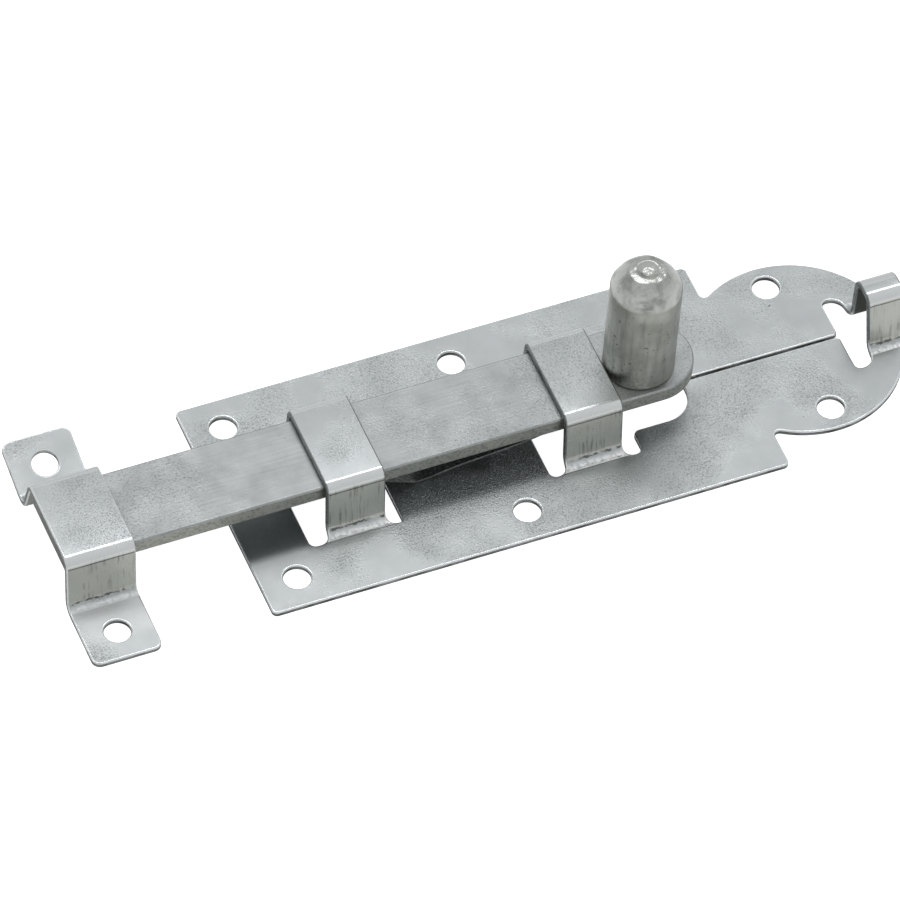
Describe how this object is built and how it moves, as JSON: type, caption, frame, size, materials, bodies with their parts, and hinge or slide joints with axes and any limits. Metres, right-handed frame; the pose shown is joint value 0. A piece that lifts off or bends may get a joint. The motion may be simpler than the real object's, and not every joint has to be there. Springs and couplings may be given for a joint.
{
  "type": "sliding bolt",
  "caption": "Flat sliding door bolt on a pressed steel plate with guide straps, a turned upright knob, a leaf spring and a separate strap keeper.",
  "frame": {"origin": "on the mounting face of the back plate, at the centre of the four screw holes of its rectangular end", "axes": "+X along the bolt towards the round head of the plate, +Y across the plate, +Z away from the mounting face, along the knob"},
  "size_m": [0.201, 0.0594, 0.0459],
  "materials": {
    "zinc_sheet": "bright zinc plated cold rolled sheet, satin",
    "zinc_bar": "bright zinc plated flat bar, satin with fine pits",
    "turned_steel": "zinc plated turned round bar, mottled, with drag marks along it",
    "spring_steel": "plain dark spring strip"
  },
  "bodies": {
    "plate": {"back_plate": "zinc_sheet", "keeper": "zinc_sheet"},
    "bolt": {"bolt_bar": "zinc_bar", "knob": "turned_steel", "leaf_spring": "spring_steel"}
  },
  "joints": [
    {"name": "bolt_slide", "type": "slide", "parent": "plate", "child": "bolt", "axis": [1, 0, 0], "range_m": [0, 0.0411]}
  ]
}
